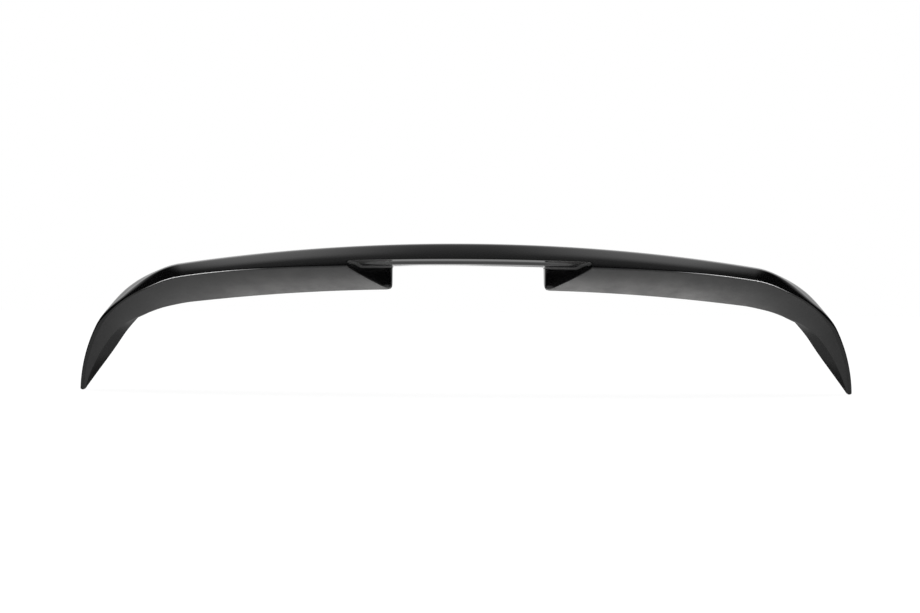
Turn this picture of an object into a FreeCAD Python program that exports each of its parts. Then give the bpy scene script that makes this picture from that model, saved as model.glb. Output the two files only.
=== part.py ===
import FreeCAD, Part
import math
import os
from FreeCAD import Vector

os.makedirs("parts", exist_ok=True)

# Crest line seen from behind: a flat arch, a tight shoulder, then the wing
OVERALL_WIDTH = 1200.0
ARCH_RADIUS = 3094.0
SHOULDER_RADIUS = 179.0
WING_RADIUS = 227.0
SHOULDER_TURN_DEG = 62.7
TIP_TURN_DEG = 89.2

# How far the ends sit forward of the middle, seen from above
PLAN_BOW = 104.0

# Lip band, the narrow face that looks straight back
LIP_HEIGHT_MIDDLE = 28.3
LIP_HEIGHT_SHOULDER = 18.9
LIP_HEIGHT_WING = 4.5
LIP_OVERHANG = 11.0
LIP_OVERHANG_WING = 1.0
LIP_BULGE = 1.9

# Underside, from the lip edge forward and down to the heel
UNDERSIDE_DEPTH = 70.0
UNDERSIDE_DEPTH_WING = 63.8
UNDERSIDE_DROP = 41.8
UNDERSIDE_BULGE = 1.2
HEEL_LAG = 1.6

# Lower flange, from the heel to the open front
FLANGE_DEPTH = 28.0
FLANGE_RISE = 5.0

# Top skin, from the crest to the leading edge
TOP_CHORD = 105.0
TOP_FALL = 12.0
TOP_FALL_WING = 4.0
TOP_BULGE = 2.6

# Swelling of the top skin over each shoulder, above a lowered crest
SHOULDER_CREST_DROP = 6.0
SHOULDER_CROWN = 5.7

# Tapered ends, with a hollowed inner face on each wing
TAPER_LENGTH = 215.0
TAPER_SOFTNESS = 0.02
TIP_SHARE = 0.05
WING_FACE_LENGTH = 151.6
WING_FACE_HOLLOW = 14.5

# Edge rounds
CREST_ROUND_MIDDLE = 4.0
CREST_ROUND_SHOULDER = 4.5
CREST_ROUND_TIP = 1.2
LIP_EDGE_ROUND = 1.6
HEEL_ROUND = 2.4

# Moulded shell
WALL = 3.0
SOLID_TIP_LENGTH = 52.0
NOSE_GAP = 2.0
FRONT_REACH = 14.0

# Cut-out for the high brake lamp, with a flared scoop on each side
NOTCH_WIDTH = 234.0
SCOOP_LENGTH = 78.0
SCOOP_FLARE_DEG = 45.0
SCOOP_FILLET = 3.0
NOTCH_EDGE_ROUND = 4.0
NOTCH_FOOT_ROUND = 6.0

# Underside of the bridge over the cut-out
BRIDGE_LIP_MIDDLE = 21.0
BRIDGE_LIP_SCOOP = 18.0
CEILING_DEPTH = 26.0
CEILING_SLOPE_DEG = 13.0
CEILING_STEP = 3.1
CEILING_STEP_DEG = 30.0
CEILING_STEP_ROUND = 3.5

# Stiffening ribs inside the hollow, mirrored left and right
RIB_THICKNESS = 2.5
RIB_POSITIONS = (290.0, 405.0)
RIB_SETBACK = 26.0

# Profiles along one half of the crest line
ARCH_STEPS = 6
SHOULDER_STEPS = 8
WING_STEPS = 8


def mix(first, second, share):
    return first + (second - first) * share


def smooth(value):
    value = min(1.0, max(0.0, value))
    return value * value * (3.0 - 2.0 * value)


half_width = OVERALL_WIDTH / 2.0
shoulder_turn = math.radians(SHOULDER_TURN_DEG)
tip_turn = math.radians(TIP_TURN_DEG)
shoulder_reach = SHOULDER_RADIUS * math.sin(shoulder_turn)
wing_reach = WING_RADIUS * (math.sin(tip_turn) - math.sin(shoulder_turn))
arch_reach = half_width - shoulder_reach - wing_reach
arch_turn = math.asin(arch_reach / (ARCH_RADIUS - SHOULDER_RADIUS))
arch_end = ARCH_RADIUS * arch_turn
shoulder_end = arch_end + SHOULDER_RADIUS * (shoulder_turn - arch_turn)
line_length = shoulder_end + WING_RADIUS * (tip_turn - shoulder_turn)


def crest(s):
    """Place and turn of the crest line at distance s from the middle."""
    arcs = (
        (ARCH_RADIUS, 0.0, 0.0, arch_turn),
        (SHOULDER_RADIUS, arch_end, arch_turn, shoulder_turn),
        (WING_RADIUS, shoulder_end, shoulder_turn, tip_turn),
    )
    x = 0.0
    z = 0.0
    turn = 0.0
    for radius, start, turn_start, turn_end in arcs:
        if s < start:
            break
        turn = min(turn_end, turn_start + (s - start) / radius)
        x = x + radius * (math.sin(turn) - math.sin(turn_start))
        z = z - radius * (math.cos(turn_start) - math.cos(turn))
    return x, z, turn


def section(s):
    """Corners of the profile at s as (forward, outward), with side bulges and corner rounds."""
    bend = (s - arch_end) / (shoulder_end - arch_end)
    lip_fade = smooth((bend - 0.21) / 0.83)
    wing = smooth(bend)
    crest_drop = SHOULDER_CREST_DROP * smooth(bend / 0.55) * (1.0 - smooth((bend - 0.65) / 0.42))
    crown = SHOULDER_CROWN * smooth((bend + 0.05) / 0.55) * (1.0 - smooth((bend - 0.6) / 0.46))
    phase = 2.0 * math.pi * min(1.0, max(0.0, bend))
    lag = HEEL_LAG * math.sin(phase) * (1.0 - math.cos(phase)) / 1.3
    along = (s - (line_length - TAPER_LENGTH)) / TAPER_LENGTH
    taper = (along + math.sqrt(along * along + TAPER_SOFTNESS)) / 2.0
    share = 1.0 - (1.0 - TIP_SHARE) * min(1.0, taper)
    face = max(0.0, (s - (line_length - WING_FACE_LENGTH)) / WING_FACE_LENGTH)

    lip = mix(LIP_HEIGHT_MIDDLE, LIP_HEIGHT_SHOULDER, min(1.0, s / arch_end))
    lip = mix(lip, LIP_HEIGHT_WING, lip_fade) * mix(1.0, 0.7, max(0.0, along))
    overhang = mix(LIP_OVERHANG, LIP_OVERHANG_WING, lip_fade)
    depth = mix(UNDERSIDE_DEPTH, UNDERSIDE_DEPTH_WING, wing) * share
    rise = FLANGE_RISE * (1.0 - smooth((bend - 0.25) / 0.5))
    rise = rise - WING_FACE_HOLLOW * 4.0 * face * (1.0 - face)
    fall = mix(TOP_FALL, TOP_FALL_WING, wing) * share

    peak = (0.0, -crest_drop)
    lip_edge = (-overhang, -lip)
    heel = (lip_edge[0] + depth, lip_edge[1] - UNDERSIDE_DROP * share + lag)
    flange_end = (heel[0] + FLANGE_DEPTH * share, heel[1] + rise)
    leading_edge = (TOP_CHORD * share, -fall)

    crest_round = mix(CREST_ROUND_MIDDLE, CREST_ROUND_SHOULDER, smooth(bend * 1.6))
    crest_round = mix(crest_round, CREST_ROUND_TIP, smooth((bend - 0.55) / 0.9))
    lip_round = LIP_EDGE_ROUND * mix(1.0, 0.6, lip_fade)
    lip_bulge = LIP_BULGE * lip / LIP_HEIGHT_MIDDLE
    top_bulge = TOP_BULGE * share + crown

    corners = [peak, lip_edge, heel, flange_end, leading_edge]
    bulges = [lip_bulge, UNDERSIDE_BULGE * share, 0.0, 0.0, top_bulge]
    rounds = [crest_round, lip_round, HEEL_ROUND * share, 0.0, 0.0]
    return corners, bulges, rounds


def placed(s, point, side):
    """A profile point in space, on the right for side 1 and on the left for side -1."""
    x, z, turn = crest(s)
    forward, outward = point
    bow = PLAN_BOW * (x / half_width) ** 2
    return Vector(
        side * (x + outward * math.sin(turn)),
        bow + forward,
        z + outward * math.cos(turn),
    )


def between(p, q, share):
    return (mix(p[0], q[0], share), mix(p[1], q[1], share))


def distance(p, q):
    return math.hypot(q[0] - p[0], q[1] - p[1])


def meeting(p, p_to, q, q_to):
    """Where the line through p and p_to crosses the line through q and q_to."""
    px, py = p_to[0] - p[0], p_to[1] - p[1]
    qx, qy = q_to[0] - q[0], q_to[1] - q[1]
    cross = px * qy - py * qx
    if abs(cross) < 1e-9:
        return between(p, q, 0.5)
    share = ((q[0] - p[0]) * qy - (q[1] - p[1]) * qx) / cross
    return (p[0] + px * share, p[1] + py * share)


def inward(p, q):
    """Unit step from the side p to q into the profile."""
    run = distance(p, q)
    return ((p[1] - q[1]) / run, (q[0] - p[0]) / run)


def stretch_of(poles, start, end):
    """The stretch of a three-pole curve between two parameters."""
    p, m, q = poles

    def blossom(u, v):
        return between(between(p, m, u), between(m, q, u), v)

    return (blossom(start, start), blossom(start, end), blossom(end, end))


def profile(corners, bulges, rounds):
    """Curves round one closed profile, three poles each, with rounded corners."""
    count = len(corners)
    sides = []
    for i in range(count):
        p = corners[i]
        q = corners[(i + 1) % count]
        step = inward(p, q)
        middle = between(p, q, 0.5)
        pole = (middle[0] - 2.0 * bulges[i] * step[0], middle[1] - 2.0 * bulges[i] * step[1])
        run = distance(p, q)
        start = min(0.45, rounds[i] / run)
        end = 1.0 - min(0.45, rounds[(i + 1) % count] / run)
        sides.append(stretch_of((p, pole, q), start, end))
    curves = []
    for i in range(count):
        before = sides[i - 1]
        after = sides[i]
        if rounds[i] > 0.0:
            pole = meeting(before[2], before[1], after[0], after[1])
            curves.append((before[2], pole, after[0]))
        curves.append(after)
    return curves


def hollow_section(s):
    """Profile of the hollow, one wall inside the skin and reaching out of the open front."""
    corners, bulges, rounds = section(s)
    peak, lip_edge, heel, flange_end, leading_edge = corners

    def inset(p, q):
        step = inward(p, q)
        move = (WALL * step[0], WALL * step[1])
        return (p[0] + move[0], p[1] + move[1]), (q[0] + move[0], q[1] + move[1])

    def height(line, forward):
        return mix(line[0][1], line[1][1], (forward - line[0][0]) / (line[1][0] - line[0][0]))

    lip_line = inset(peak, lip_edge)
    under_line = inset(lip_edge, heel)
    flange_line = inset(heel, flange_end)
    top_line = inset(leading_edge, peak)
    top_nose = meeting(*top_line, *lip_line)
    under_nose = meeting(*under_line, *lip_line)

    # Where the lip is too thin to hollow out, the hollow starts further forward
    nose = max(top_nose[0], under_nose[0])
    gap = height(top_line, nose) - height(under_line, nose)
    if top_nose[1] - under_nose[1] < NOSE_GAP or gap < NOSE_GAP:
        opening = height(top_line, nose + 1.0) - height(under_line, nose + 1.0) - gap
        nose = nose + max(0.0, NOSE_GAP - gap) / max(0.05, opening)
        top_nose = (nose, height(top_line, nose))
        under_nose = (nose, height(under_line, nose))

    inner_heel = meeting(*under_line, *flange_line)
    flange_reach = 1.0 + FRONT_REACH / distance(inner_heel, flange_line[1])
    flange_out = between(inner_heel, flange_line[1], flange_reach)
    top_reach = 1.0 + FRONT_REACH / distance(top_nose, top_line[0])
    top_out = between(top_nose, top_line[0], top_reach)
    inner_bulges = [bulges[0] * 0.6, bulges[1], 0.0, 0.0, bulges[4]]
    return [top_nose, under_nose, inner_heel, flange_out, top_out], inner_bulges, [0.0] * 5


def stations(last):
    """Distances along one half of the crest line, denser where it bends."""
    spans = (
        (0.0, arch_end, ARCH_STEPS),
        (arch_end, shoulder_end, SHOULDER_STEPS),
        (shoulder_end, line_length, WING_STEPS),
    )
    marks = []
    for start, end, steps in spans:
        marks = marks + [mix(start, end, i / steps) for i in range(steps)]
    return [mark for mark in marks if mark < last - 6.0] + [last]


def faces_through(rows):
    """Smooth faces through matching curves, one row of three poles for each station."""
    marks = [row[0] for row in rows]
    lines = []
    for j in range(3):
        line = Part.BSplineCurve()
        line.interpolate(Points=[row[1][j] for row in rows], Parameters=marks)
        lines.append(line)
    surface = Part.BSplineSurface()
    surface.buildFromPolesMultsKnots(
        [list(net) for net in zip(*[line.getPoles() for line in lines])],
        lines[0].getMultiplicities(),
        (3, 3),
        lines[0].getKnots(),
        (0.0, 1.0),
        False,
        False,
        lines[0].Degree,
        2,
    )
    joints = [m for m in marks if min(abs(abs(m) - arch_end), abs(abs(m) - shoulder_end)) < 1e-6]
    joints = [marks[0]] + joints + [marks[-1]]
    faces = []
    for start, end in zip(joints, joints[1:]):
        stretch = surface.copy()
        stretch.segment(start, end, 0.0, 1.0)
        faces.append(stretch.toShape())
    return faces


def end_face(curves):
    edges = []
    for poles in curves:
        curve = Part.BezierCurve()
        curve.setPoles(poles)
        edges.append(curve.toShape())
    return Part.Face(Part.Wire(edges))


def swept_solid(last, section_at):
    """Closed solid from tip to tip through the profile at every station."""
    marks = stations(last)
    rows = [(-mark, mark, -1.0) for mark in reversed(marks[1:])]
    rows = rows + [(mark, mark, 1.0) for mark in marks]
    nets = []
    for along, mark, side in rows:
        curves = profile(*section_at(mark))
        nets.append([[placed(mark, pole, side) for pole in poles] for poles in curves])
    faces = [end_face(nets[0]), end_face(nets[-1])]
    for k in range(len(nets[0])):
        faces = faces + faces_through([(row[0], net[k]) for row, net in zip(rows, nets)])
    shell = Part.makeShell(faces)
    shell.sewShape()
    solid = Part.Solid(shell)
    if solid.Volume < 0.0:
        solid.reverse()
    return solid


def largest(shape):
    return max(shape.Solids, key=lambda solid: solid.Volume)


ALONG = Vector(0.0, 1.0, 0.0)
scoop_front = SCOOP_LENGTH - LIP_OVERHANG
space_back = -80.0
space_front = TOP_CHORD + 120.0
space_low = -260.0


def edges_where(shape, test):
    chosen = []
    for edge in shape.Edges:
        first, last = edge.ParameterRange
        centre = (first + last) / 2.0
        if test(edge.valueAt(centre), edge.tangentAt(centre)):
            chosen.append(edge)
    return chosen


def roof_section(s, grow):
    """Profile of the space under the bridge: a gentle fall from the lip, a step, then level."""
    scoop = (s / (NOTCH_WIDTH / 2.0 + SCOOP_LENGTH)) ** 2
    lip = grow - mix(BRIDGE_LIP_MIDDLE, BRIDGE_LIP_SCOOP, scoop)
    slope = math.tan(math.radians(CEILING_SLOPE_DEG))
    step_run = CEILING_STEP / math.tan(math.radians(CEILING_STEP_DEG))
    back = (space_back, lip - slope * (space_back + LIP_OVERHANG))
    step = (CEILING_DEPTH - LIP_OVERHANG, lip - slope * CEILING_DEPTH)
    level = (step[0] + step_run, step[1] - CEILING_STEP)
    front = (space_front, level[1])
    corners = [back, (space_back, space_low), (space_front, space_low), front, level, step]
    return corners, [0.0] * 6, [0.0, 0.0, 0.0, 0.0, CEILING_STEP_ROUND, CEILING_STEP_ROUND]


def lamp_space(grow):
    """Space of the cut-out and both scoops, made larger all round by grow."""
    half_notch = NOTCH_WIDTH / 2.0 + grow
    flare = math.radians(SCOOP_FLARE_DEG)
    corner = scoop_front + grow * math.tan(flare / 2.0)
    wide = half_notch + (corner - space_back) * math.tan(flare)
    plan = [
        Vector(-wide, space_back, space_low),
        Vector(-half_notch, corner, space_low),
        Vector(-half_notch, space_front, space_low),
        Vector(half_notch, space_front, space_low),
        Vector(half_notch, corner, space_low),
        Vector(wide, space_back, space_low),
    ]
    block = Part.Face(Part.makePolygon(plan + plan[:1])).extrude(Vector(0.0, 0.0, 60.0 - space_low))

    roof = swept_solid(wide + 40.0, lambda s: roof_section(s, grow))
    space = largest(block.common(roof))
    if grow > 0.0:
        return space

    def upright(middle, heading):
        at_corner = abs(abs(middle.x) - half_notch) < 0.01 and abs(middle.y - corner) < 0.01
        return at_corner and abs(heading.z) > 0.99

    def under_ceiling(middle, heading):
        between_ends = space_back + 1.0 < middle.y < space_front - 1.0
        on_wall = abs(middle.x) > half_notch - 0.5
        return between_ends and on_wall and middle.z > -100.0 and abs(heading.z) < 0.7

    space = space.makeFillet(NOTCH_EDGE_ROUND, edges_where(space, upright))
    return space.makeFillet(SCOOP_FILLET, edges_where(space, under_ceiling))


def foot_space(side):
    """Rounds the lower corner of the cut-out where it meets the heel."""
    edge = NOTCH_WIDTH / 2.0
    heel = placed(edge, section(edge)[0][2], 1.0)
    start = scoop_front - NOTCH_FOOT_ROUND
    length = space_front - start
    block = Part.makeBox(
        NOTCH_FOOT_ROUND + 1.0,
        length,
        NOTCH_FOOT_ROUND + 20.0,
        Vector(edge - 1.0, start, heel.z - 20.0),
    )
    rod = Part.makeCylinder(
        NOTCH_FOOT_ROUND,
        length,
        Vector(edge + NOTCH_FOOT_ROUND, start, heel.z + NOTCH_FOOT_ROUND),
        ALONG,
    )
    space = largest(block.cut(rod))
    if side < 0.0:
        space = space.mirror(Vector(0.0, 0.0, 0.0), Vector(1.0, 0.0, 0.0))
    return space


def rib_slab(position, side):
    """Slab left standing across the hollow as a rib."""
    bow = PLAN_BOW * (position / half_width) ** 2
    front = bow + TOP_CHORD - RIB_SETBACK
    place = Vector(side * position - RIB_THICKNESS / 2.0, front - 400.0, -400.0)
    return Part.makeBox(RIB_THICKNESS, 400.0, 500.0, place)


body = swept_solid(line_length, section)
hollow = swept_solid(line_length - SOLID_TIP_LENGTH, hollow_section)
body = body.cut(lamp_space(0.0))
hollow = hollow.cut(lamp_space(WALL))
for side in (-1.0, 1.0):
    body = body.cut(foot_space(side))
    for position in RIB_POSITIONS:
        hollow = hollow.cut(rib_slab(position, side))
spoiler = largest(body.cut(hollow))

# Origin at the middle of the leading edge, on the inner face that is bonded to the car
leading_edge = section(0.0)[0][4]
spoiler.translate(Vector(0.0, -leading_edge[0], WALL - leading_edge[1]))
spoiler.exportStep("parts/spoiler_body.step")
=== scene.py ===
import functools
import math

import bmesh
import bpy
from mathutils import Matrix, Vector


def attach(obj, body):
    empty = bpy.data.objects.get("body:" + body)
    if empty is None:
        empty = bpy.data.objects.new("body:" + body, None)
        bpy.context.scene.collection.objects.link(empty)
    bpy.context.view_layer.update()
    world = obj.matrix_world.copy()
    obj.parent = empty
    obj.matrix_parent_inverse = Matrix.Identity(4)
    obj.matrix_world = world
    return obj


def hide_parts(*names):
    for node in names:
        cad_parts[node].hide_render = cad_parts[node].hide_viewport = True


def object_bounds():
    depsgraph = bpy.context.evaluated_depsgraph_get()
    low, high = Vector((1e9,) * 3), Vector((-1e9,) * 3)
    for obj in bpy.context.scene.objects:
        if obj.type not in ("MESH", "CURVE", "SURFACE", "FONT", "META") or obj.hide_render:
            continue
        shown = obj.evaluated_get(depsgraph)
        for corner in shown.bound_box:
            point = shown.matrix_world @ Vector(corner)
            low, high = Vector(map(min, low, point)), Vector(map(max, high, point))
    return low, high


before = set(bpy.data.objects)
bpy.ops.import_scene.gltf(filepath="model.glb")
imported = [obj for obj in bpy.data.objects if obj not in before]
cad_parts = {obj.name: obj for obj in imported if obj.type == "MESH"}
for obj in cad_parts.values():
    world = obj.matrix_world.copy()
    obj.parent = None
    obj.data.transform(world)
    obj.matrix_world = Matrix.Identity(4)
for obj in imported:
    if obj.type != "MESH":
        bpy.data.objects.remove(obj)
cad_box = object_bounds()

# Camera, as the photograph was taken
CAMERA_TARGET = Vector((-0.0130, -0.045, -0.0797))
CAMERA_DISTANCE = 3.0
CAMERA_YAW = math.radians(0.9)
CAMERA_ROLL = math.radians(0.43)
CAMERA_LENS_MM = 76.6
CAMERA_SENSOR_MM = 36.0

# Sizes of the spoiler in millimetres; lip, crest and bridge differ a little from the part's source
OVERALL_WIDTH = 1200.0
ARCH_RADIUS = 3094.0
SHOULDER_RADIUS = 179.0
WING_RADIUS = 227.0
SHOULDER_TURN_DEG = 62.7
TIP_TURN_DEG = 89.2
PLAN_BOW = 104.0
LIP_HEIGHT_MIDDLE = 31.5
LIP_HEIGHT_SHOULDER = 21.0
LIP_HEIGHT_WING = 8.5
LIP_OVERHANG = 11.0
LIP_OVERHANG_WING = 1.0
LIP_BULGE = 1.9
UNDERSIDE_DEPTH = 70.0
UNDERSIDE_DEPTH_WING = 63.8
HEEL_HEIGHT_MIDDLE = 70.1
HEEL_HEIGHT_SHOULDER = 60.7
HEEL_HEIGHT_WING = 46.3
UNDERSIDE_BULGE = 1.2
HEEL_LAG = 1.6
FLANGE_DEPTH = 28.0
FLANGE_RISE = 5.0
TOP_CHORD = 105.0
TOP_FALL = 12.0
TOP_FALL_WING = 4.0
TOP_BULGE = 2.6
SHOULDER_CREST_DROP = 7.0
SHOULDER_CROWN = 6.2
TAPER_LENGTH = 215.0
TIP_ROUND = 2.5
WING_FACE_LENGTH = 151.6
WING_FACE_HOLLOW = 14.5
CREST_ROUND_MIDDLE = 4.0
CREST_ROUND_SHOULDER = 2.0
CREST_ROUND_TIP = 1.2
LIP_EDGE_ROUND = 2.6
HEEL_ROUND = 2.4
WALL = 3.0
SOLID_TIP_LENGTH = 52.0
NOSE_GAP = 2.0
FRONT_REACH = 14.0
NOTCH_WIDTH = 234.0
SCOOP_LENGTH = 78.0
SCOOP_FILLET = 3.0
NOTCH_CORNER_SOFTNESS = 1.5
NOTCH_FOOT_ROUND = 6.0
NOTCH_FOOT_RUN = 14.0
CUT_EDGE_ROUND = 1.1
BRIDGE_LIP_MIDDLE = 23.2
BRIDGE_LIP_SCOOP = 20.5
CEILING_DEPTH = 11.5
CEILING_SLOPE_DEG = 13.0
CEILING_BEND_DEG = 34.0
CEILING_BEND_RADIUS = 18.5
CEILING_FRONT_SETBACK = 6.2
RIB_THICKNESS = 2.5
RIB_POSITIONS = (290.0, 405.0)
RIB_SETBACK = 26.0

# Shares of a size
TAPER_SOFTNESS = 0.02
TIP_SHARE = 0.05
TIP_LIP_SHARE = 0.55
WING_LIP_ROUND_SHARE = 0.6
INNER_LIP_BULGE_SHARE = 0.6
LARGEST_ROUND_SHARE = 0.45
BLUNT_TIP_SHARE = 0.05
CUT_WALL_START_SHARE = 0.8
LEAST_NOSE_OPENING = 0.05
LAMP_SHIFT_SHARE = 0.4
LAMP_SLANT_SHARE = 1.4

# Largest value of the wave that delays the heel, which scales it to HEEL_LAG
HEEL_LAG_PEAK = 1.3

# Where the profile changes along the shoulder: 0 is where the bend starts, 1 is where the wing starts
LIP_FADE = (0.28, 1.08)
HEEL_FADE = (0.21, 1.04)
WING_FADE = (0.0, 1.0)
CREST_DROP_START = (0.0, 0.55)
CREST_DROP_END = (0.6, 1.0)
CROWN_START = (-0.05, 0.5)
CROWN_END = (0.55, 0.99)
FLANGE_RISE_END = (0.25, 0.75)
SHOULDER_ROUND_START = (0.0, 0.625)
TIP_ROUND_START = (0.55, 1.45)

# Where the lip gets lower along the arch: 0 is the middle, 1 is where the shoulder starts
LIP_CHANGE = (0.29, 0.97)

# Steps of the mesh along the crest and round the profile
MIDDLE_STEPS = 46
SCOOP_STEPS = 22
ARCH_STEPS = 44
SHOULDER_STEPS = 84
WING_STEPS = 46
TIP_STEPS = 6
TOP_STEPS = 20
CREST_STEPS = 12
BAND_STEPS = 16
LIP_STEPS = 12
LIP_STEP_GROWTH = 1.6
LIP_EDGE_STEPS = 8
UNDERSIDE_STEPS = 34
HEEL_STEPS = 8
FLANGE_STEPS = 10
CUT_EDGE_STEPS = 5
HOLLOW_ARCH_STEPS = 60
HOLLOW_SHOULDER_STEPS = 50
HOLLOW_WING_STEPS = 14
HOLLOW_SIDE_STEPS = (8, 14, 6, 2, 14)
LAMP_STEPS_FORWARD = 48
LAMP_STEPS_ACROSS = 24

# Where along the crest the rows of skin beside the scoop are even again
SKIN_JOIN = 262.0

# Searches: where along the crest the scoop is, and at which share of the lip band the bridge ends
SCOOP_SEARCH = (90.0, 240.0)
BRIDGE_SEARCH = (0.2, 1.0)
SEARCH_STEPS = 44
NEARLY_PARALLEL = 1e-9

# How sharply the lower edge of the bridge turns into the corner of the scoop
BRIDGE_CORNER_POWER = 6

# How far the cutting shapes reach past the shell, and the bend of the one for the lamp
LAMP_REACH_REAR = 70.0
LAMP_REACH_FRONT = 60.0
LAMP_BEND_RUN = 8.0
CUTTER_LOW = -400.0
CUTTER_HIGH = 100.0

# Metres in a millimetre, and lengths in metres
METRES = 0.001
WELD_DISTANCE = 0.000004
GROUND_SIZE = 30.0

# Angle from which an edge of the mesh is shaded sharp
SHARP_EDGE = math.radians(32.0)

# Colours
POLISHED_BLACK = (0.0025, 0.0025, 0.0027, 1.0)
# Grey of the dust and of the painted sheen on the underside
DUST_AND_SHEEN_GREY = (0.16, 0.158, 0.155, 1.0)
# Pale grey of the painted highlight along the lip edge
PAINTED_HIGHLIGHT_GREY = (0.85, 0.85, 0.85, 1.0)
RAW_DARK = (0.013, 0.013, 0.014, 1.0)
RAW_PALE = (0.075, 0.074, 0.072, 1.0)
PAPER_DARK = (0.88, 0.88, 0.88, 1.0)
PAPER_PALE = (0.92, 0.92, 0.92, 1.0)
BLACK = (0.0, 0.0, 0.0, 1.0)
WHITE = (1.0, 1.0, 1.0, 1.0)
PLASTIC_IOR = 1.5

# Sides of the profile, in the order that profile() gives them
CREST, LIP, LIP_EDGE, UNDERSIDE, HEEL, FLANGE, FRONT, TOP = range(8)


def mix(first, second, share):
    return first + (second - first) * share


def smooth(value):
    value = min(1.0, max(0.0, value))
    return value * value * (3.0 - 2.0 * value)


def fade(value, span):
    """0 before the span, 1 past it, smooth between."""
    return smooth((value - span[0]) / (span[1] - span[0]))


def shares(count, start=0):
    """Even shares from 0 to 1 in count steps, leaving out the first few."""
    return [i / count for i in range(start, count + 1)]


def spread(first, last, count, start=1):
    """Even values from first to last in count steps, leaving out the first few."""
    return [mix(first, last, share) for share in shares(count, start)]


half_width = OVERALL_WIDTH / 2.0
half_notch = NOTCH_WIDTH / 2.0
scoop_front = SCOOP_LENGTH - LIP_OVERHANG
shoulder_turn = math.radians(SHOULDER_TURN_DEG)
tip_turn = math.radians(TIP_TURN_DEG)
shoulder_reach = SHOULDER_RADIUS * math.sin(shoulder_turn)
wing_reach = WING_RADIUS * (math.sin(tip_turn) - math.sin(shoulder_turn))
arch_reach = half_width - shoulder_reach - wing_reach
arch_turn = math.asin(arch_reach / (ARCH_RADIUS - SHOULDER_RADIUS))
arch_end = ARCH_RADIUS * arch_turn
shoulder_end = arch_end + SHOULDER_RADIUS * (shoulder_turn - arch_turn)
line_length = shoulder_end + WING_RADIUS * (tip_turn - shoulder_turn)


def plan_bow(x):
    """How far forward the spoiler stands at x, seen from above."""
    return PLAN_BOW * (x / half_width) ** 2


@functools.lru_cache(maxsize=None)
def crest(s):
    """Place and turn of the crest line at distance s from the middle."""
    arcs = (
        (ARCH_RADIUS, 0.0, 0.0, arch_turn),
        (SHOULDER_RADIUS, arch_end, arch_turn, shoulder_turn),
        (WING_RADIUS, shoulder_end, shoulder_turn, tip_turn),
    )
    x = 0.0
    z = 0.0
    turn = 0.0
    for radius, start, turn_start, turn_end in arcs:
        if s < start:
            break
        turn = min(turn_end, turn_start + (s - start) / radius)
        x = x + radius * (math.sin(turn) - math.sin(turn_start))
        z = z - radius * (math.cos(turn_start) - math.cos(turn))
    return x, z, turn


@functools.lru_cache(maxsize=None)
def section(s):
    """Corners of the profile at s as (forward, outward), with side bulges and corner rounds."""
    bend = (s - arch_end) / (shoulder_end - arch_end)
    lip_fade = fade(bend, LIP_FADE)
    wing = fade(bend, WING_FADE)
    along = (s - (line_length - TAPER_LENGTH)) / TAPER_LENGTH
    taper = (along + math.sqrt(along * along + TAPER_SOFTNESS)) / 2.0
    share = 1.0 - (1.0 - TIP_SHARE) * min(1.0, taper)

    # Lip and underside, with a heel that turns into the wing a little late
    lip = mix(LIP_HEIGHT_MIDDLE, LIP_HEIGHT_SHOULDER, fade(s / arch_end, LIP_CHANGE))
    lip = mix(lip, LIP_HEIGHT_WING, lip_fade) * mix(1.0, TIP_LIP_SHARE, max(0.0, along))
    overhang = mix(LIP_OVERHANG, LIP_OVERHANG_WING, lip_fade)
    heel_height = mix(HEEL_HEIGHT_MIDDLE, HEEL_HEIGHT_SHOULDER, min(1.0, s / arch_end))
    heel_height = mix(heel_height, HEEL_HEIGHT_WING, fade(bend, HEEL_FADE))
    phase = 2.0 * math.pi * min(1.0, max(0.0, bend))
    lag = HEEL_LAG * math.sin(phase) * (1.0 - math.cos(phase)) / HEEL_LAG_PEAK
    drop = (heel_height - lip) * share - lag
    depth = mix(UNDERSIDE_DEPTH, UNDERSIDE_DEPTH_WING, wing) * share

    # Flange, which becomes the hollow inner face of the wing
    face = max(0.0, (s - (line_length - WING_FACE_LENGTH)) / WING_FACE_LENGTH)
    rise = FLANGE_RISE * (1.0 - fade(bend, FLANGE_RISE_END))
    rise = rise - WING_FACE_HOLLOW * 4.0 * face * (1.0 - face)

    # Top skin, with a lower crest and a crown on the shoulder
    fall = mix(TOP_FALL, TOP_FALL_WING, wing) * share
    crest_drop = SHOULDER_CREST_DROP * fade(bend, CREST_DROP_START) * (1.0 - fade(bend, CREST_DROP_END))
    crown = SHOULDER_CROWN * fade(bend, CROWN_START) * (1.0 - fade(bend, CROWN_END))

    peak = (0.0, -crest_drop)
    lip_edge = (-overhang, -lip)
    heel = (lip_edge[0] + depth, lip_edge[1] - drop)
    flange_end = (heel[0] + FLANGE_DEPTH * share, heel[1] + rise)
    leading_edge = (TOP_CHORD * share, -fall)

    crest_round = mix(CREST_ROUND_MIDDLE, CREST_ROUND_SHOULDER, fade(bend, SHOULDER_ROUND_START))
    crest_round = mix(crest_round, CREST_ROUND_TIP, fade(bend, TIP_ROUND_START))
    lip_round = LIP_EDGE_ROUND * mix(1.0, WING_LIP_ROUND_SHARE, lip_fade)
    lip_bulge = LIP_BULGE * lip / LIP_HEIGHT_MIDDLE
    top_bulge = TOP_BULGE * share + crown

    corners = (peak, lip_edge, heel, flange_end, leading_edge)
    bulges = (lip_bulge, UNDERSIDE_BULGE * share, 0.0, 0.0, top_bulge)
    rounds = (crest_round, lip_round, HEEL_ROUND * share, 0.0, 0.0)
    return corners, bulges, rounds


def placed(s, point):
    """A profile point of the right half in space, in millimetres."""
    x, z, turn = crest(s)
    forward, outward = point
    return Vector((x + outward * math.sin(turn), plan_bow(x) + forward, z + outward * math.cos(turn)))


def between(p, q, share):
    return (mix(p[0], q[0], share), mix(p[1], q[1], share))


def distance(p, q):
    return math.hypot(q[0] - p[0], q[1] - p[1])


def moved(p, step, length):
    return (p[0] + step[0] * length, p[1] + step[1] * length)


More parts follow.
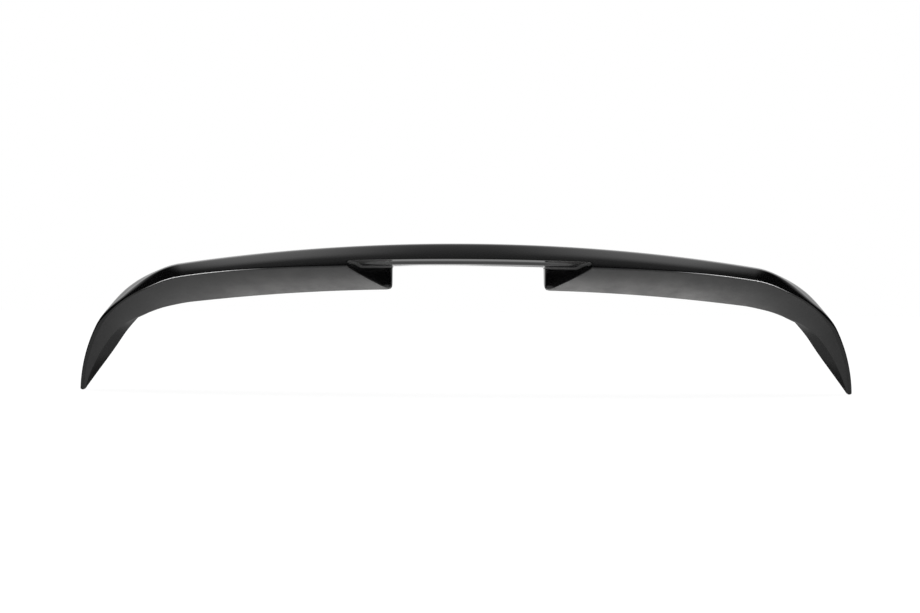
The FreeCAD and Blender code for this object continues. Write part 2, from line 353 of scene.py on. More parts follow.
def meeting(p, p_to, q, q_to):
    """Where the line through p and p_to crosses the line through q and q_to."""
    px, py = p_to[0] - p[0], p_to[1] - p[1]
    qx, qy = q_to[0] - q[0], q_to[1] - q[1]
    cross = px * qy - py * qx
    if abs(cross) < NEARLY_PARALLEL:
        return between(p, q, 0.5)
    share = ((q[0] - p[0]) * qy - (q[1] - p[1]) * qx) / cross
    return (p[0] + px * share, p[1] + py * share)


def inward(p, q):
    """Unit step from the side p to q into the profile."""
    run = distance(p, q)
    return ((p[1] - q[1]) / run, (q[0] - p[0]) / run)


def on_curve(poles, share):
    """Point of a three-pole curve."""
    p, m, q = poles
    return between(between(p, m, share), between(m, q, share), share)


def stretch_of(poles, start, end):
    """The stretch of a three-pole curve between two shares."""
    p, m, q = poles
    middle = between(between(p, m, start), between(m, q, start), end)
    return (on_curve(poles, start), middle, on_curve(poles, end))


def profile(corners, bulges, rounds):
    """Curves round one closed profile, three poles each, with rounded corners."""
    count = len(corners)
    sides = []
    for i in range(count):
        p = corners[i]
        q = corners[(i + 1) % count]
        pole = moved(between(p, q, 0.5), inward(p, q), -2.0 * bulges[i])
        run = distance(p, q)
        start = min(LARGEST_ROUND_SHARE, rounds[i] / run)
        end = 1.0 - min(LARGEST_ROUND_SHARE, rounds[(i + 1) % count] / run)
        sides.append(stretch_of((p, pole, q), start, end))
    curves = []
    for i in range(count):
        before = sides[i - 1]
        after = sides[i]
        if rounds[i] > 0.0:
            pole = meeting(before[2], before[1], after[0], after[1])
            curves.append((before[2], pole, after[0]))
        curves.append(after)
    return curves


@functools.lru_cache(maxsize=None)
def outline(s):
    return profile(*section(s))


def skin(s, side, share):
    """Point of the outer skin: distance along the crest, side of the profile, share of that side."""
    point = on_curve(outline(s)[side], share)
    past = (s - (line_length - TIP_ROUND)) / TIP_ROUND
    if past > 0.0:
        corners = section(s)[0]
        centre = [sum(parts) / len(corners) for parts in zip(*corners)]
        point = between(centre, point, math.sqrt(max(BLUNT_TIP_SHARE, 1.0 - past * past)))
    return placed(s, point)


def hollow_section(s):
    """Corners of the hollow, one wall inside the skin and reaching out of the open front."""
    corners, bulges = section(s)[:2]
    peak, lip_edge, heel, flange_end, leading_edge = corners

    def inset(p, q):
        step = inward(p, q)
        return moved(p, step, WALL), moved(q, step, WALL)

    def height(line, forward):
        return mix(line[0][1], line[1][1], (forward - line[0][0]) / (line[1][0] - line[0][0]))

    def reaching_out(start, end):
        return between(start, end, 1.0 + FRONT_REACH / distance(start, end))

    lip_line = inset(peak, lip_edge)
    under_line = inset(lip_edge, heel)
    flange_line = inset(heel, flange_end)
    top_line = inset(leading_edge, peak)
    top_nose = meeting(*top_line, *lip_line)
    under_nose = meeting(*under_line, *lip_line)
    inner_heel = meeting(*under_line, *flange_line)

    # Where the lip is too thin to hollow out, the hollow starts further forward
    nose = max(top_nose[0], under_nose[0])
    gap = height(top_line, nose) - height(under_line, nose)
    if top_nose[1] - under_nose[1] < NOSE_GAP or gap < NOSE_GAP:
        opening = height(top_line, nose + 1.0) - height(under_line, nose + 1.0) - gap
        nose = nose + max(0.0, NOSE_GAP - gap) / max(LEAST_NOSE_OPENING, opening)
        top_nose = (nose, height(top_line, nose))
        under_nose = (nose, height(under_line, nose))

    # The top of the hollow keeps to the curve of the top skin, also past the leading edge
    chord = distance(leading_edge, peak)
    past = FRONT_REACH / chord
    sink = 4.0 * bulges[4] * past * (1.0 + past)
    top_out = moved(reaching_out(top_nose, top_line[0]), inward(leading_edge, peak), sink)
    top_bulge = bulges[4] * (distance(top_out, top_nose) / chord) ** 2

    flange_out = reaching_out(inner_heel, flange_line[1])
    corners = (top_nose, under_nose, inner_heel, flange_out, top_out)
    bulges = (bulges[0] * INNER_LIP_BULGE_SHARE, bulges[1], 0.0, 0.0, top_bulge)
    return corners, bulges


def wall_place(y):
    """Where the side wall of the cut-out stands at y, and the step into the cut-out there."""
    back = scoop_front - y
    soft = math.sqrt(back * back + NOTCH_CORNER_SOFTNESS ** 2)
    x = half_notch + (back + soft) / 2.0
    slope = -(1.0 + back / soft) / 2.0
    run = math.hypot(1.0, slope)
    return x, (-1.0 / run, slope / run)


def ceiling_fall(run):
    """How far the ceiling has dropped at a run forward of the lip edge."""
    slope = math.radians(CEILING_SLOPE_DEG)
    steep = math.radians(CEILING_BEND_DEG)
    radius = CEILING_BEND_RADIUS
    if run < CEILING_DEPTH:
        return run * math.tan(slope)
    fall = CEILING_DEPTH * math.tan(slope)
    run = run - CEILING_DEPTH
    upper = radius * (math.sin(steep) - math.sin(slope))
    if run < upper:
        return fall + radius * (math.cos(slope) - math.cos(math.asin(math.sin(slope) + run / radius)))
    fall = fall + radius * (math.cos(slope) - math.cos(steep))
    run = min(run - upper, radius * math.sin(steep))
    return fall + radius * (math.cos(math.asin(math.sin(steep) - run / radius)) - math.cos(steep))


def ceiling(x, y):
    """Height of the underside of the bridge."""
    arch = math.sqrt(ARCH_RADIUS * ARCH_RADIUS - x * x) - ARCH_RADIUS
    scoop = (x / (half_notch + SCOOP_LENGTH)) ** 2
    lip = mix(BRIDGE_LIP_MIDDLE, BRIDGE_LIP_SCOOP, scoop)
    return arch - lip - ceiling_fall(y - plan_bow(x) + LIP_OVERHANG)


def fillet(below, radius):
    """How far the fillet under the ceiling reaches out from the wall."""
    if below >= radius:
        return 0.0
    return radius - math.sqrt(radius * radius - (radius - below) ** 2)


def wall_point(place, below):
    """Point of the side wall or its fillet, at a place along the wall and a depth below the ceiling."""
    x, step = wall_place(place)
    reach = fillet(below, SCOOP_FILLET)
    x = x + step[0] * reach
    y = place + step[1] * reach
    return Vector((x, y, ceiling(x, y) - below))


def cut_round(point):
    """Round of the cut-out's lower edge at a point, larger at the foot of the wall."""
    foot = fade(point.y, (scoop_front - NOTCH_FOOT_RUN, scoop_front))
    return mix(CUT_EDGE_ROUND, NOTCH_FOOT_ROUND, foot)


def solve(low, high, test):
    """Where a rising test crosses zero."""
    for i in range(SEARCH_STEPS):
        middle = (low + high) / 2.0
        if test(middle) > 0.0:
            high = middle
        else:
            low = middle
    return (low + high) / 2.0


@functools.lru_cache(maxsize=None)
def bridge_share(s):
    """Share of the lip band at which the underside of the bridge meets it."""

    def above(share):
        point = skin(s, LIP, share)
        return ceiling(point.x, point.y) - point.z

    return solve(*BRIDGE_SEARCH, above)


def scoop_start():
    """Where the fillet of the scoop leaves the lower edge of the bridge."""

    def past(s):
        point = skin(s, LIP, bridge_share(s))
        return point.x - wall_place(point.y)[0] + math.sqrt(2.0) * SCOOP_FILLET

    return solve(*SCOOP_SEARCH, past)


class Surface:
    """Faces of one closed surface, gathered patch by patch in millimetres."""

    def __init__(self):
        self.points = []
        self.faces = []

    def grid(self, rows):
        start = len(self.points)
        width = len(rows[0])
        for row in rows:
            self.points.extend(row)
        for i in range(len(rows) - 1):
            for j in range(width - 1):
                a = start + i * width + j
                self.faces.append((a, a + 1, a + width + 1, a + width))

    def ribbon(self, first, second):
        """Triangles between two lines of (mark, point), stepping along both by their marks."""
        start = len(self.points)
        self.points.extend(point for mark, point in first)
        other = len(self.points)
        self.points.extend(point for mark, point in second)
        i = 0
        j = 0
        while i + 1 < len(first) or j + 1 < len(second):
            first_next = first[i + 1][0] if i + 1 < len(first) else math.inf
            second_next = second[j + 1][0] if j + 1 < len(second) else math.inf
            if first_next <= second_next:
                self.faces.append((start + i, start + i + 1, other + j))
                i = i + 1
            else:
                self.faces.append((start + i, other + j + 1, other + j))
                j = j + 1

    def polygon(self, ring):
        start = len(self.points)
        self.points.extend(ring)
        self.faces.append(tuple(range(start, start + len(ring))))

    def rounded_strip(self, first, corner, last):
        """Rounded edge from the first line to the last, along the sharp line of corners."""
        strip = []
        for a, b, c in zip(first, corner, last):
            strip.append([a.lerp(b, t).lerp(b.lerp(c, t), t) for t in shares(CUT_EDGE_STEPS)])
        self.grid(strip)
        return strip

    def mirrored(self):
        """Adds the left half."""
        count = len(self.points)
        self.points.extend([Vector((-p.x, p.y, p.z)) for p in self.points])
        self.faces.extend([tuple(count + i for i in reversed(face)) for face in self.faces])

    def made(self, name, materials, material_index):
        """The object, in metres in the frame of the part."""
        mesh = bpy.data.meshes.new(name)
        shift = Vector((0.0, -TOP_CHORD, TOP_FALL + WALL))
        mesh.from_pydata([(p + shift) * METRES for p in self.points], [], self.faces)
        sheet = bmesh.new()
        sheet.from_mesh(mesh)
        bmesh.ops.remove_doubles(sheet, verts=sheet.verts, dist=WELD_DISTANCE)
        bmesh.ops.dissolve_degenerate(sheet, edges=sheet.edges, dist=WELD_DISTANCE)
        bmesh.ops.recalc_face_normals(sheet, faces=sheet.faces)
        for face in sheet.faces:
            face.material_index = material_index
        sheet.to_mesh(mesh)
        sheet.free()
        for material in materials:
            mesh.materials.append(material)
        made = bpy.data.objects.new(name, mesh)
        bpy.context.scene.collection.objects.link(made)
        return made


class OuterHalf(Surface):
    """Right half of the outer surface, with the cut-out, closed across the open front."""

    def __init__(self):
        super().__init__()
        self.start = scoop_start()
        self.middle_marks = spread(0.0, self.start, MIDDLE_STEPS, 0)
        self.scoop_marks = spread(self.start, SKIN_JOIN, SCOOP_STEPS)
        self.outer_marks = spread(SKIN_JOIN, arch_end, ARCH_STEPS)
        self.outer_marks += spread(arch_end, shoulder_end, SHOULDER_STEPS)
        self.outer_marks += spread(shoulder_end, line_length - TIP_ROUND, WING_STEPS)
        for share in shares(TIP_STEPS, 1):
            self.outer_marks.append(line_length - TIP_ROUND * (1.0 - math.sin(share * math.pi / 2.0)))
        self.all_marks = self.middle_marks + self.scoop_marks + self.outer_marks

        # Rows below the level of the bridge: side, and share of that side
        self.lip_steps = [share ** LIP_STEP_GROWTH for share in shares(LIP_STEPS)]
        self.rows = [(LIP, step) for step in self.lip_steps]
        lower_sides = (
            (LIP_EDGE, LIP_EDGE_STEPS),
            (UNDERSIDE, UNDERSIDE_STEPS),
            (HEEL, HEEL_STEPS),
            (FLANGE, FLANGE_STEPS),
        )
        for side, count in lower_sides:
            self.rows += [(side, share) for share in shares(count, 1)]

        self.upper_skin()
        self.find_cut_edge()
        self.lower_skin()
        self.bridge_edge()
        self.cut_edge()
        self.side_wall()
        self.bridge_underside()
        self.flat_front()
        self.blunt_tip()

    def level(self, s):
        """Share of the lip band at the lower edge of the bridge, and just above its round."""
        share = bridge_share(min(s, self.start))
        corners = section(s)[0]
        return share, share - CUT_EDGE_ROUND / distance(corners[0], corners[1])

    def row_point(self, s, row, rounded=True):
        """Point of a row below the level of the bridge, which starts above or below the edge's round."""
        side, share = row
        if side == LIP:
            lower, upper = self.level(s)
            share = mix(upper if rounded else lower, 1.0, share)
        return skin(s, side, share)

    def row_marks(self, stop):
        """Marks of a row from where it stops at the cut-out to the tip."""
        span = SKIN_JOIN - self.start
        joining = [mix(stop, SKIN_JOIN, (s - self.start) / span) for s in self.scoop_marks]
        return joining + self.outer_marks

    def meets_wall(self, row, rounded):
        """Where a row of the skin meets the side wall of the cut-out."""

        def past(s):
            point = self.row_point(s, row, rounded)
            reach = 0.0
            if row[0] == LIP:
                extra = CUT_EDGE_ROUND if rounded else 0.0
                below = ceiling(point.x, point.y) + extra - point.z
                reach = fillet(max(0.0, below), SCOOP_FILLET + extra) - extra
            return point.x - wall_place(point.y)[0] + math.sqrt(2.0) * reach

        return solve(*SCOOP_SEARCH, past)

    def upper_column(self, s):
        """Points down the top skin, the crest and the upper part of the lip band."""
        upper = self.level(s)[1]
        column = [skin(s, TOP, share) for share in shares(TOP_STEPS)]
        column += [skin(s, CREST, share) for share in shares(CREST_STEPS, 1)]
        column += [skin(s, LIP, upper * share) for share in shares(BAND_STEPS, 1)]
        return column

    def upper_skin(self):
        self.grid([self.upper_column(s) for s in self.all_marks])

    def find_cut_edge(self):
        """Along the cut-out: where each row of skin stops, the sharp edge, and where the wall starts."""
        edge_shift = self.start - self.meets_wall(self.rows[0], True)
        self.stops = [self.start]
        self.sharp = [skin(self.start, LIP, bridge_share(self.start))]
        for row in self.rows[1:]:
            edge = self.meets_wall(row, False)
            point = self.row_point(edge, row, False)
            self.sharp.append(point)
            if row[0] == LIP:
                stop = self.meets_wall(row, True)
            else:
                stop = edge - cut_round(point) / wall_place(point.y)[1][0]
            self.stops.append(stop + edge_shift)

        lip_sharp = self.sharp[:len(self.lip_steps)]
        low_sharp = self.sharp[len(self.lip_steps) + LIP_EDGE_STEPS:]
        deepest = ceiling(lip_sharp[-1].x, lip_sharp[-1].y) - lip_sharp[-1].z
        self.lip_walls = []
        for point in lip_sharp:
            below = max(0.0, ceiling(point.x, point.y) - point.z)
            place = point.y + fillet(below, SCOOP_FILLET) / math.sqrt(2.0)
            place = place + CUT_EDGE_ROUND * CUT_WALL_START_SHARE
            self.lip_walls.append(wall_point(place, below * (deepest - CUT_EDGE_ROUND) / deepest))
        self.low_walls = [Vector((p.x, p.y, p.z + cut_round(p))) for p in low_sharp]

    def lower_skin(self):
        self.lower_rows = []
        for row, stop in zip(self.rows, self.stops):
            marks = [stop] + self.row_marks(stop)
            self.lower_rows.append([self.row_point(s, row) for s in marks])
        self.grid(self.lower_rows)

    def bridge_edge(self):
        """Lower edge of the bridge, from the middle to the scoop."""
        stops = []
        sharp = []
        self.bridge_walls = []
        corner_step = self.lip_walls[0] - self.sharp[0]
        for s in self.middle_marks:
            lower, upper = self.level(s)
            point = skin(s, LIP, lower)
            stops.append(skin(s, LIP, upper))
            sharp.append(point)
            blend = (s / self.start) ** BRIDGE_CORNER_POWER
            x = point.x + corner_step.x * blend
            y = point.y + mix(CUT_EDGE_ROUND, corner_step.y, blend)
            self.bridge_walls.append(Vector((x, y, ceiling(x, y))))
        self.bridge_walls[-1] = self.lip_walls[0]
        self.rounded_strip(stops, sharp, self.bridge_walls)

    def cut_edge(self):
        """Edge of the skin down the scoop and along the side wall."""
        stops = [line[0] for line in self.lower_rows]
        walls = self.lip_walls + [self.lip_walls[-1]] * LIP_EDGE_STEPS + self.low_walls
        self.cut_strip = self.rounded_strip(stops, self.sharp, walls)

    def side_wall(self):
        """Side wall of the cut-out, with its fillet under the ceiling."""
        self.wall_columns = [self.lip_walls]
        first_place = self.lip_walls[-1].y
        last_place = self.low_walls[-1].y
        first_top = self.sharp[0].y + SCOOP_FILLET / math.sqrt(2.0)
        first_top = first_top + CUT_EDGE_ROUND * CUT_WALL_START_SHARE
        last_top = TOP_CHORD - CEILING_FRONT_SETBACK + plan_bow(half_notch)
        for wall in self.low_walls:
            top = mix(first_top, last_top, (wall.y - first_place) / (last_place - first_place))
            depth = ceiling(wall.x, wall.y) - wall.z
            column = [wall_point(mix(top, wall.y, step), depth * step) for step in self.lip_steps]
            column[-1] = wall
            self.wall_columns.append(column)
        self.grid(self.wall_columns)

    def bridge_underside(self):
        tops = [column[0] for column in self.wall_columns]
        lines = [self.bridge_walls]
        for i in range(1, len(tops)):
            top = tops[i]
            along = i / (len(tops) - 1)
            line = []
            for s, wall in zip(self.middle_marks, self.bridge_walls):
                x = top.x * s / self.start
                rear = (wall.y - self.bridge_walls[-1].y) * (1.0 - along)
                front = (plan_bow(x) - plan_bow(top.x)) * along
                y = top.y + rear + front
                line.append(Vector((x, y, ceiling(x, y))))
            line[-1] = top
            lines.append(line)
        self.grid(lines)
        self.bridge_front = lines[-1]

    def flat_front(self):
        """Flat front from the leading edge down, later opened by the hollow."""
        upper_line = [(s, skin(s, TOP, 0.0)) for s in self.all_marks]
        bridge_end = self.bridge_front[-1].x
        bridge_marks = [s * bridge_end / self.start for s in self.middle_marks]
        lower_line = list(zip(bridge_marks, self.bridge_front))
        wall_mark = half_notch + CUT_EDGE_ROUND + NOTCH_FOOT_ROUND
        lower_line += [(wall_mark, point) for point in self.wall_columns[-1][1:]]
        lower_line += [(wall_mark, point) for point in reversed(self.cut_strip[-1][:-1])]
        for s in self.row_marks(self.stops[-1]):
            lower_line.append((max(s, wall_mark), self.row_point(s, self.rows[-1])))
        self.ribbon(upper_line, lower_line)

    def blunt_tip(self):
        ring = self.upper_column(line_length)
        ring += [self.row_point(line_length, row) for row in self.rows[1:]]
        self.polygon(ring)


def hollow_half():
    """Right half of the hollow inside the shell."""
    surface = Surface()
    marks = spread(0.0, arch_end, HOLLOW_ARCH_STEPS, 0)
    marks += spread(arch_end, shoulder_end, HOLLOW_SHOULDER_STEPS)
    marks += spread(shoulder_end, line_length - SOLID_TIP_LENGTH, HOLLOW_WING_STEPS)
    columns = []
    for s in marks:
        corners, bulges = hollow_section(s)
        curves = profile(corners, bulges, (0.0,) * len(corners))
        column = []
        for poles, count in zip(curves, HOLLOW_SIDE_STEPS):
            column += [placed(s, on_curve(poles, share)) for share in shares(count)[:-1]]
        columns.append(column + column[:1])
    surface.grid(columns)
    surface.polygon(columns[-1][:-1])
    return surface


def lamp_half():
    """Right half of the cut-out grown by one wall, which the hollow keeps clear of."""
    surface = Surface()
    tops = []
    bottoms = []
    for y in spread(-LAMP_REACH_REAR, TOP_CHORD + LAMP_REACH_FRONT, LAMP_STEPS_FORWARD, 0):
        straight = fade(y, (scoop_front - LAMP_BEND_RUN, scoop_front + LAMP_BEND_RUN))
        edge = wall_place(y - WALL * LAMP_SHIFT_SHARE)[0] + WALL * mix(LAMP_SLANT_SHARE, 1.0, straight)
        across = [edge * share for share in shares(LAMP_STEPS_ACROSS)]
        tops.append([Vector((x, y, ceiling(x, y) + WALL)) for x in across])
        bottoms.append([Vector((x, y, CUTTER_LOW)) for x in across])
    surface.grid(tops)
    surface.grid(bottoms)
    surface.grid([[top[-1], bottom[-1]] for top, bottom in zip(tops, bottoms)])
    surface.grid([tops[0], bottoms[0]])
    surface.grid([tops[-1], bottoms[-1]])
    return surface


def rib_slab(position):
    """Slab of one rib on the right, cut out of the hollow so that the rib stays."""
    surface = Surface()
    left = position - RIB_THICKNESS / 2.0
    right = position + RIB_THICKNESS / 2.0
    front = plan_bow(position) + TOP_CHORD - RIB_SETBACK
    rear = front + CUTTER_LOW
    ring = [(left, rear), (right, rear), (right, front), (left, front), (left, rear)]
    low = [Vector((x, y, CUTTER_LOW)) for x, y in ring]
    high = [Vector((x, y, CUTTER_HIGH)) for x, y in ring]
    surface.grid([low, high])
    surface.polygon(low[:-1])
    surface.polygon(high[:-1])
    return surface


def cut_away(body, tool):
    """Cuts the tool out of the body and removes the tool."""
    cut = body.modifiers.new("cut", "BOOLEAN")
    cut.operation = "DIFFERENCE"
    cut.solver = "EXACT"
    cut.object = tool
    depsgraph = bpy.context.evaluated_depsgraph_get()
    mesh = bpy.data.meshes.new_from_object(body.evaluated_get(depsgraph))
    body.modifiers.clear()
    body.data = mesh
    bpy.data.objects.remove(tool)


def spoiler_shell(materials):
    """The whole moulding: polished outside, raw in the hollow."""

    def both_halves(half, name, material_index):
        half.mirrored()
        return half.made(name, materials, material_index)

    shell = both_halves(OuterHalf(), "spoiler_shell", 0)
    space = both_halves(hollow_half(), "hollow", 1)
    cut_away(space, both_halves(lamp_half(), "lamp", 1))
    for position in RIB_POSITIONS:
        cut_away(space, both_halves(rib_slab(position), "ribs", 1))
    cut_away(shell, space)
    shell.data.shade_smooth()
    shell.data.set_sharp_from_angle(angle=SHARP_EDGE)
    return shell


class Socket:
    """One output of a shader node. Arithmetic on it adds Math nodes."""

    def __init__(self, paint, output):
        self.paint = paint
        self.output = output

    def math(self, operation, first, second):
        return self.paint.add("ShaderNodeMath", {"operation": operation}, {0: first, 1: second})

    def __add__(self, other):
        return self.math("ADD", self, other)

    def __radd__(self, other):
        return self.math("ADD", other, self)

    def __sub__(self, other):
        return self.math("SUBTRACT", self, other)

    def __rsub__(self, other):
        return self.math("SUBTRACT", other, self)

    def __mul__(self, other):
        return self.math("MULTIPLY", self, other)

    def __rmul__(self, other):
        return self.math("MULTIPLY", other, self)

    def __pow__(self, other):
        return self.math("POWER", self, other)

    def highest(self, other):
        return self.math("MAXIMUM", self, other)

    def lowest(self, other):
        return self.math("MINIMUM", self, other)

    def size(self):
        return self.math("ABSOLUTE", self, 0.0)

    def sign(self):
        return self.math("SIGN", self, 0.0)

    def ease(self, low, high):
        """0 at low and below, 1 at high and above, smooth between."""
        return self.paint.add(
            "ShaderNodeMapRange",
            {"interpolation_type": "SMOOTHSTEP"},
            {"Value": self, "From Min": low, "From Max": high},
        )


class Paint:
    """Adds nodes to one material's or world's tree."""

    def __init__(self, tree):
        self.tree = tree
        tree.nodes.clear()

    def add(self, kind, settings=None, sockets=None, out=0):
        node = self.tree.nodes.new(kind)
        for name, value in (settings or {}).items():
            setattr(node, name, value)
        for name, value in (sockets or {}).items():
            if isinstance(value, Socket):
                self.tree.links.new(value.output, node.inputs[name])
            else:
                node.inputs[name].default_value = value
        return Socket(self, node.outputs[out]) if node.outputs else node

    def split(self, vector):
        """The three parts of a vector."""
        node = self.add("ShaderNodeSeparateXYZ", None, {0: vector}).output.node
        return [Socket(self, output) for output in node.outputs]

    def rays(self, *names):
        """Whether a ray is of each kind that is named."""
        outputs = self.add("ShaderNodeLightPath").output.node.outputs
        return [Socket(self, outputs[name]) for name in names]

    def noise(self, place, scale, detail, roughness=0.5):
        return self.add(
            "ShaderNodeTexNoise",
            None,
            {"Vector": place, "Scale": scale, "Detail": detail, "Roughness": roughness},
        )

    def blend(self, share, first, second):
        """Mix of two colours."""
        return self.add("ShaderNodeMix", {"data_type": "RGBA"}, {0: share, 6: first, 7: second}, 2)

    def stretched(self, place, sizes):
        """Coordinates scaled along each axis."""
        return self.add("ShaderNodeVectorMath", {"operation": "MULTIPLY"}, {0: place, 1: sizes})

    def plastic(self, colour, rough, relief, strength, depth):
        """Ends the tree as plastic with a fine relief."""
        bumped = self.add(
            "ShaderNodeBump",
            None,
            {"Strength": strength, "Distance": depth, "Height": relief},
        )
        shader = self.add(
            "ShaderNodeBsdfPrincipled",
            None,
            {"Base Color": colour, "Roughness": rough, "IOR": PLASTIC_IOR, "Normal": bumped},
        )
        self.add("ShaderNodeOutputMaterial", None, {"Surface": shader})


def new_material(name):
    material = bpy.data.materials.new(name)
    material.use_nodes = True
    return material, Paint(material.node_tree)


def gloss_black():
    """Polished black plastic, satin and a little dusty on the sides that face down and in, where painted
    sheen pales it too, with a painted highlight along the lip edge.
    """
    material, paint = new_material("gloss_black_shell")
    place = paint.add("ShaderNodeTexCoord", None, None, "Object")
    across, forward, height = paint.split(place)
    normal = paint.add("ShaderNodeNewGeometry", None, None, "Normal")
    facing_across, facing_forward, facing_up = paint.split(normal)
    facing_back = 0.0 - facing_forward
    facing_down = 0.0 - facing_up
    beside = across.size()
    middle = 1.0 - beside.ease(0.3, 0.52)

    # Distance forward of the crest, and how far down the underside that is
    bow = PLAN_BOW * METRES / (half_width * METRES) ** 2
    reach = forward + TOP_CHORD * METRES - bow * across * across
    depth = reach.ease(-0.02, 0.064)

    # Sides that face down, and on the wings also those that face in
    facing_in = 0.0 - facing_across * across.sign()
    facing_in = facing_in * beside.ease(0.3, 0.42)
    below = facing_down.highest(facing_in).ease(0.12, 0.55)

    # Underside outside the cut-out, less on the back of the wings, which is left darker as painted shade,
    # and the ceiling of the scoops
    wing_face = facing_back.ease(0.54, 0.64) * beside.ease(0.42, 0.5) * height.ease(-0.18, -0.14)
    cut_side = half_notch * METRES + (scoop_front * METRES - TOP_CHORD * METRES - forward).highest(0.0)
    outside = (beside - cut_side).ease(-0.002, 0.001)
    under = below * outside * (1.0 - 0.8 * wing_face)
    scoop = below * (1.0 - outside) * beside.ease(0.112, 0.124) * (1.0 - reach.ease(0.0, 0.012))

    # Painted highlight along the edge of the lip, out towards the shoulders, in place of a studio
    # reflection
    edge = facing_down.ease(0.08, 0.2) * (1.0 - facing_down.ease(0.36, 0.5))
    edge = edge * (0.0 - reach).ease(0.002, 0.006) * facing_back.ease(0.3, 0.5)
    edge = edge * beside.ease(0.3, 0.4) * (1.0 - beside.ease(0.45, 0.505))

    cloud = paint.noise(place, 26.0, 4.0, 0.6)
    smear = paint.noise(paint.stretched(place, (9.0, 60.0, 60.0)), 1.0, 3.0, 0.55)
    grain = paint.noise(place, 1300.0, 2.0, 0.7)
    peel = paint.noise(place, 420.0, 1.0)
    wave = paint.noise(place, 60.0, 1.0)
    speck = paint.noise(place, 760.0, 1.0).ease(0.735, 0.765)

    # Dust on the underside, mottled and grainy, with painted sheen: paler in the middle, further down
    # towards the heel and on one side
    pale_share = under * (0.04 + 0.08 * middle + 0.88 * depth ** 1.4 * middle * (1.0 + 0.6 * across))
    pale_share = pale_share * (0.55 + 0.5 * cloud.ease(0.25, 0.75)) * (0.7 + 0.6 * grain)
    # Painted reflection: a pale band on the ceiling of the scoops
    pale_share = pale_share + 0.2 * scoop * (0.6 + 0.6 * cloud)
    pale_share = pale_share + 0.12 * speck * (0.3 + smear)
    colour = paint.blend(pale_share.lowest(1.0), POLISHED_BLACK, DUST_AND_SHEEN_GREY)
    # Painted highlight: the lip edge turns pale grey
    colour = paint.blend(edge, colour, PAINTED_HIGHLIGHT_GREY)
    rough = 0.06 + 0.035 * smear.ease(0.3, 0.75)
    rough = rough + (under + scoop) * (0.2 + 0.12 * cloud)
    relief = 0.35 * wave + 0.22 * peel + 0.25 * under * grain
    paint.plastic(colour, rough, relief, 0.1, 0.0006)
    return material


def raw_inside():
    """Unpolished moulded black plastic with fine grain, flow marks and a little dust."""
    material, paint = new_material("raw_inside")
    place = paint.add("ShaderNodeTexCoord", None, None, "Object")
    normal = paint.add("ShaderNodeNewGeometry", None, None, "Normal")
    facing_up = paint.split(normal)[2]
    grain = paint.noise(place, 1100.0, 3.0, 0.65)
    pits = paint.noise(place, 480.0, 1.0).ease(0.62, 0.72)
    flow = paint.noise(paint.stretched(place, (14.0, 55.0, 55.0)), 1.0, 4.0, 0.6)
    cloud = paint.noise(place, 30.0, 4.0, 0.6)

    pale_share = facing_up.ease(-0.2, 0.9) * cloud.ease(0.35, 0.75) * 0.35
    shade = 0.25 * flow + 0.2 * grain + pale_share
    colour = paint.blend(shade.lowest(1.0), RAW_DARK, RAW_PALE)
    rough = 0.42 + 0.2 * flow + 0.12 * grain
    relief = grain + 0.6 * flow - 0.5 * pits
    paint.plastic(colour, rough, relief, 0.3, 0.0005)
    return material


def white_ground():
    """White floor that keeps a faint shadow. Reflections see it shaded, and from below it is clear."""
    material, paint = new_material("white_ground")
    camera, glossy, through = paint.rays("Is Camera Ray", "Is Glossy Ray", "Is Transmission Ray")
    seen = camera.highest(glossy).highest(through)
    place = paint.add("ShaderNodeNewGeometry", None, None, "Position")
    across, ahead = paint.split(place)[:2]
    level = 0.08 + 0.47 * ahead.ease(-1.6, -0.4) + 0.35 * ahead.ease(0.05, 0.5)
    aside = across.size().ease(0.14, 0.26) * ahead.ease(0.12, 0.3)
    level = level * (1.0 - aside) + 0.14 * aside
    level = camera + (1.0 - camera) * level
    tint = paint.blend(level, BLACK, WHITE)
    paper = paint.noise(place, 7.0, 4.0, 0.6)
    white = paint.blend(paper, PAPER_DARK, PAPER_PALE)
    matte = paint.add("ShaderNodeBsdfDiffuse", None, {"Color": white})
    glow = paint.add("ShaderNodeEmission", None, {"Color": tint, "Strength": 1.0})
    surface = paint.add("ShaderNodeMixShader", None, {0: seen * 0.85, 1: matte, 2: glow})
    from_below = paint.add("ShaderNodeNewGeometry", None, None, "Backfacing")
    clear = paint.add("ShaderNodeBsdfTransparent")
    surface = paint.add("ShaderNodeMixShader", None, {0: from_below, 1: surface, 2: clear})
    paint.add("ShaderNodeOutputMaterial", None, {"Surface": surface})
    return material


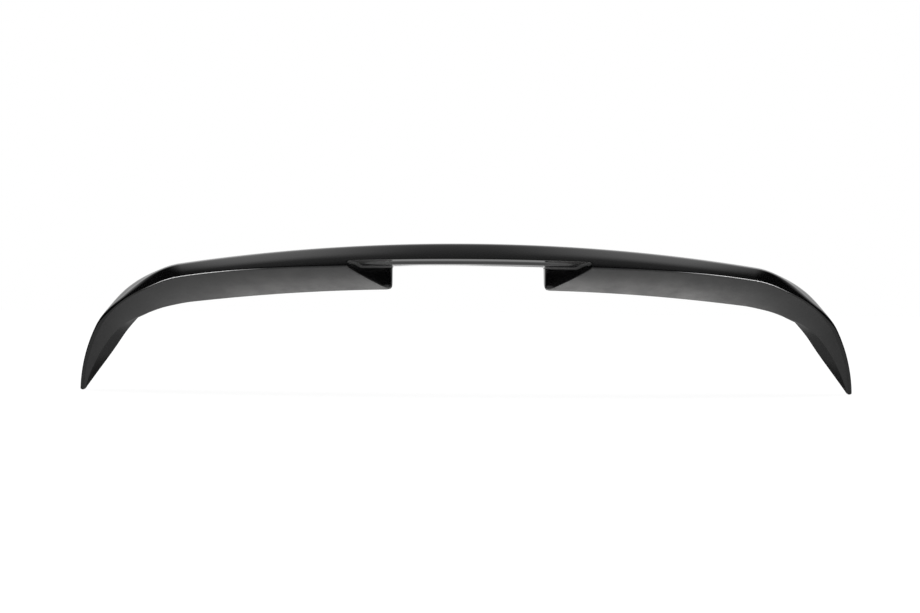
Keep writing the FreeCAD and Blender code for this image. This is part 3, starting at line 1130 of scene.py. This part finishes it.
def studio_world():
    """White to the camera. Around that: a dim room, a light ceiling, a white backdrop."""
    world = bpy.data.worlds.new("studio")
    bpy.context.scene.world = world
    world.use_nodes = True
    paint = Paint(world.node_tree)
    camera, through = paint.rays("Is Camera Ray", "Is Transmission Ray")
    seen = camera.highest(through)
    heading = paint.add("ShaderNodeTexCoord", None, None, "Generated")
    across, ahead, up = paint.split(heading)
    beside = across.size()

    side = beside.ease(0.05, 0.4)
    overhead = 0.24 * up.ease(0.26, 0.5) + 1.25 * side * up.ease(0.56, 0.74)
    overhead = overhead + 1.1 * (1.0 + 0.6 * side) * up.highest(0.0) ** 4.0
    overhead = overhead * (1.0 - beside.ease(0.45, 0.7))
    backdrop = ahead.ease(-0.1, 0.5) * (0.6 + 1.2 * up.ease(0.25, 0.5))
    room = 0.006 + overhead + backdrop
    strength = seen + (1.0 - seen) * room
    shade = paint.add("ShaderNodeBackground", None, {"Color": WHITE, "Strength": strength})
    paint.add("ShaderNodeOutputWorld", None, {"Surface": shade})


def ground():
    low = cad_box[0][2]
    size = GROUND_SIZE
    mesh = bpy.data.meshes.new("ground")
    corners = [(-size, -size, low), (size, -size, low), (size, size, low), (-size, size, low)]
    mesh.from_pydata(corners, [], [(0, 1, 2, 3)])
    floor = bpy.data.objects.new("ground", mesh)
    bpy.context.scene.collection.objects.link(floor)
    floor.data.materials.append(white_ground())


def photograph_camera():
    data = bpy.data.cameras.new("camera")
    data.lens = CAMERA_LENS_MM
    data.sensor_width = CAMERA_SENSOR_MM
    camera = bpy.data.objects.new("camera", data)
    bpy.context.scene.collection.objects.link(camera)
    turn = Matrix.Rotation(-CAMERA_YAW, 4, "Z") @ Matrix.Rotation(math.pi / 2, 4, "X")
    turn = turn @ Matrix.Rotation(CAMERA_ROLL, 4, "Z")
    heading = turn.to_3x3() @ Vector((0.0, 0.0, -1.0))
    camera.matrix_world = Matrix.Translation(CAMERA_TARGET - heading * CAMERA_DISTANCE) @ turn
    bpy.context.scene.camera = camera


shell = spoiler_shell((gloss_black(), raw_inside()))
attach(shell, "root")
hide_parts("spoiler_body")

ground()
studio_world()
photograph_camera()
bpy.context.scene.view_settings.view_transform = "Standard"
